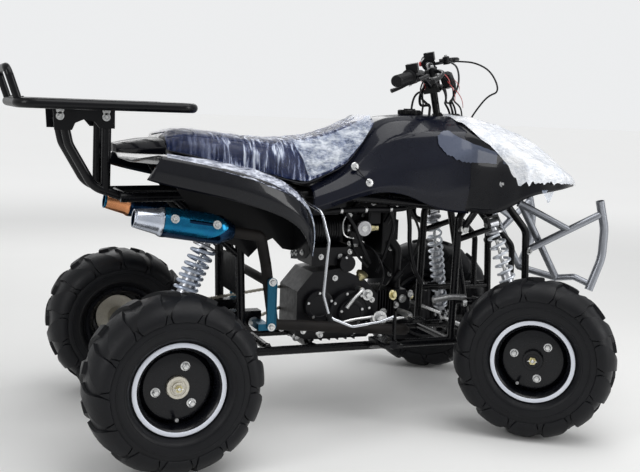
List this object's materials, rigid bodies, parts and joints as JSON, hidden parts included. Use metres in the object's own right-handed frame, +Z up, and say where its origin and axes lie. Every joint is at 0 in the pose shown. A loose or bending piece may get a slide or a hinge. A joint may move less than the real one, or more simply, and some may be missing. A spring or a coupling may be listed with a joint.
{
  "type": "quad bike",
  "caption": "Small sport quad bike with a tubular frame, front wishbones, a rear swingarm, a rear rack, a single seat and a handlebar that steers the front wheels.",
  "frame": {"origin": "on the ground, midway along the overall length and on the vehicle's middle plane", "axes": "+X forward, +Y to the rider's left, +Z up; stored with the handlebar turned to the right as it is parked"},
  "size_m": [1.7696, 1.108, 1.0878],
  "materials": {
    "frame_paint": "semi-gloss black",
    "zinc": "zinc plated",
    "spring_paint": "gloss silver-blue",
    "engine_paint": "satin black",
    "cast_alloy": "cast",
    "black_plastic": "matt",
    "exhaust_steel": "heat-proof black",
    "muffler_shell": "dark with a blue shield",
    "shock_metal": "silver",
    "rack_paint": "gloss black",
    "bodywork": "gloss black under film",
    "tank_gloss": "high gloss",
    "seat_vinyl": "grained vinyl under clear film",
    "bumper_steel": "bare grey-silver tube",
    "chain_steel": "oiled",
    "blue_anodised": "blue anodised",
    "hub_alloy": "machined",
    "disc_steel": "ground",
    "rim_paint": "gloss black with a silver lip",
    "tyre": "new rubber",
    "bar_paint": "gloss black",
    "grip_rubber": "moulded",
    "cast_dark": "painted casting"
  },
  "bodies": {
    "chassis": {"main_frame": "frame_paint", "swingarm": "frame_paint", "swingarm_bolt": "zinc", "shock_rear": "spring_paint", "engine_crankcase": "engine_paint", "engine_cylinder": "engine_paint", "carburettor": "cast_alloy", "air_filter": "black_plastic", "exhaust_pipe": "exhaust_steel", "muffler_right": "muffler_shell", "muffler_left": "muffler_shell", "wishbone_lower_right": "frame_paint", "wishbone_lower_left": "frame_paint", "wishbone_upper_right": "frame_paint", "wishbone_upper_left": "frame_paint", "shock_front_right": "shock_metal", "shock_front_left": "shock_metal", "rack_deck": "rack_paint", "rack_legs": "rack_paint", "front_fender": "bodywork", "tank_cover": "tank_gloss", "rear_fender": "bodywork", "seat": "seat_vinyl", "seat_tail": "seat_vinyl", "front_bumper": "bumper_steel", "drive_chain": "chain_steel", "foot_rests": "frame_paint", "fender_stays": "zinc", "guard_plates": "blue_anodised", "air_box": "black_plastic", "splash_guard": "black_plastic"},
    "rear_axle": {"rear_axle_shaft": "hub_alloy", "rear_sprocket": "chain_steel", "brake_disc": "disc_steel", "rim_rear_right": "rim_paint", "rim_rear_left": "rim_paint", "tyre_rear_right": "tyre", "tyre_rear_left": "tyre"},
    "steering": {"steering_stem": "frame_paint", "handlebar": "bar_paint", "grip_right": "grip_rubber", "grip_left": "grip_rubber", "control_right": "black_plastic", "control_left": "black_plastic"},
    "knuckle_right_body": {"knuckle_right": "cast_dark"},
    "wheel_front_right": {"hub_front_right": "hub_alloy", "rim_front_right": "rim_paint", "tyre_front_right": "tyre"},
    "tie_rod_right_body": {"tie_rod_right": "zinc"},
    "knuckle_left_body": {"knuckle_left": "cast_dark"},
    "wheel_front_left": {"hub_front_left": "hub_alloy", "rim_front_left": "rim_paint", "tyre_front_left": "tyre"},
    "tie_rod_left_body": {"tie_rod_left": "zinc"}
  },
  "joints": [
    {"name": "rear_axle_spin", "type": "hinge", "parent": "chassis", "child": "rear_axle", "pos_m": [-0.506, 0, 0.222], "axis": [0, 1, 0], "continuous": true},
    {"name": "steer", "type": "hinge", "parent": "chassis", "child": "steering", "pos_m": [0.524, 0, 0.235], "axis": [-0.2198, 0, 0.9755], "range_deg": [-2, 70]},
    {"name": "knuckle_right", "type": "hinge", "parent": "chassis", "child": "knuckle_right_body", "pos_m": [0.554, -0.335, 0.225], "axis": [0, 0, 1], "range_deg": [-4, 76]},
    {"name": "wheel_right_spin", "type": "hinge", "parent": "knuckle_right_body", "child": "wheel_front_right", "pos_m": [0.51974, -0.37929, 0.225], "axis": [0.6118, 0.791, 0], "continuous": true},
    {"name": "tie_rod_right", "type": "hinge", "parent": "steering", "child": "tie_rod_right_body", "pos_m": [0.45118, 0.02588, 0.25344], "axis": [-0.2198, 0, 0.9755], "range_deg": [-76, 5]},
    {"name": "knuckle_left", "type": "hinge", "parent": "chassis", "child": "knuckle_left_body", "pos_m": [0.554, 0.335, 0.225], "axis": [0, 0, 1], "range_deg": [-3, 71]},
    {"name": "wheel_left_spin", "type": "hinge", "parent": "knuckle_left_body", "child": "wheel_front_left", "pos_m": [0.58386, 0.38238, 0.225], "axis": [0.5332, 0.846, 0], "continuous": true},
    {"name": "tie_rod_left", "type": "hinge", "parent": "steering", "child": "tie_rod_left_body", "pos_m": [0.46864, 0.05241, 0.25738], "axis": [-0.2198, 0, 0.9755], "range_deg": [-76, 5]}
  ],
  "couplings": [
    {"joint": "knuckle_right", "follows": "steer", "ratio": 1.0633},
    {"joint": "tie_rod_right", "follows": "steer", "ratio": -1.05},
    {"joint": "knuckle_left", "follows": "steer", "ratio": 0.99227},
    {"joint": "tie_rod_left", "follows": "steer", "ratio": -1.05}
  ]
}
